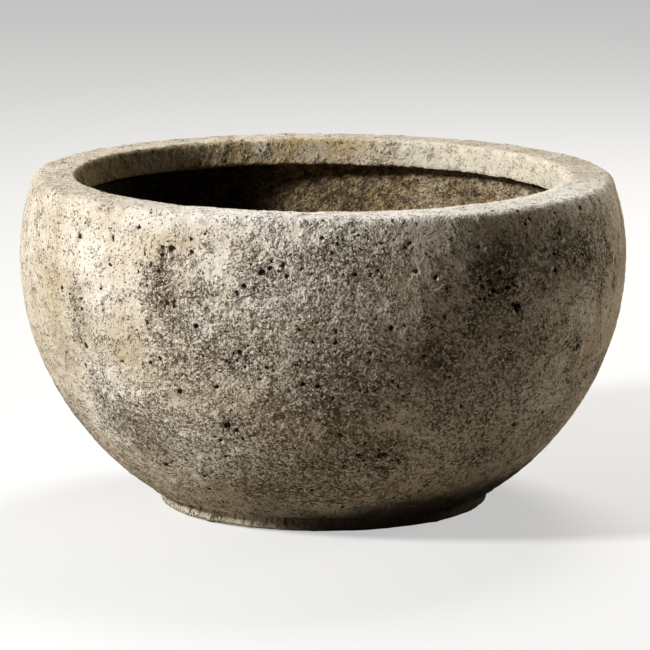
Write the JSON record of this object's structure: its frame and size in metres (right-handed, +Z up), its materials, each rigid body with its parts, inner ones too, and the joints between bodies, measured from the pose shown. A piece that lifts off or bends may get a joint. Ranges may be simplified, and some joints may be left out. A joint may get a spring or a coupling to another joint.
{
  "type": "bowl planter",
  "caption": "Round weathered concrete bowl planter with a thick rim, a return lip inside it, a low round foot on rubber pads, and a drain hole closed by a lift-out rubber plug.",
  "frame": {"origin": "on the ground, under the bowl's axis", "axes": "+Z up along the bowl's axis; the picture looks along +Y, with +X to the right"},
  "size_m": [0.609, 0.609, 0.334],
  "materials": {
    "concrete": "matte",
    "sleeve_plastic": "matte",
    "plug_rubber": "matte",
    "pad_rubber": "matte"
  },
  "bodies": {
    "planter": {"bowl_shell": "concrete", "drain_sleeve": "sleeve_plastic", "foot_pad_1": "pad_rubber", "foot_pad_2": "pad_rubber", "foot_pad_3": "pad_rubber", "foot_pad_4": "pad_rubber"},
    "plug": {"drain_plug": "plug_rubber"}
  },
  "joints": [
    {"name": "plug_lift", "type": "slide", "parent": "planter", "child": "plug", "axis": [0, 0, 1], "range_m": [0, 0.33]}
  ]
}
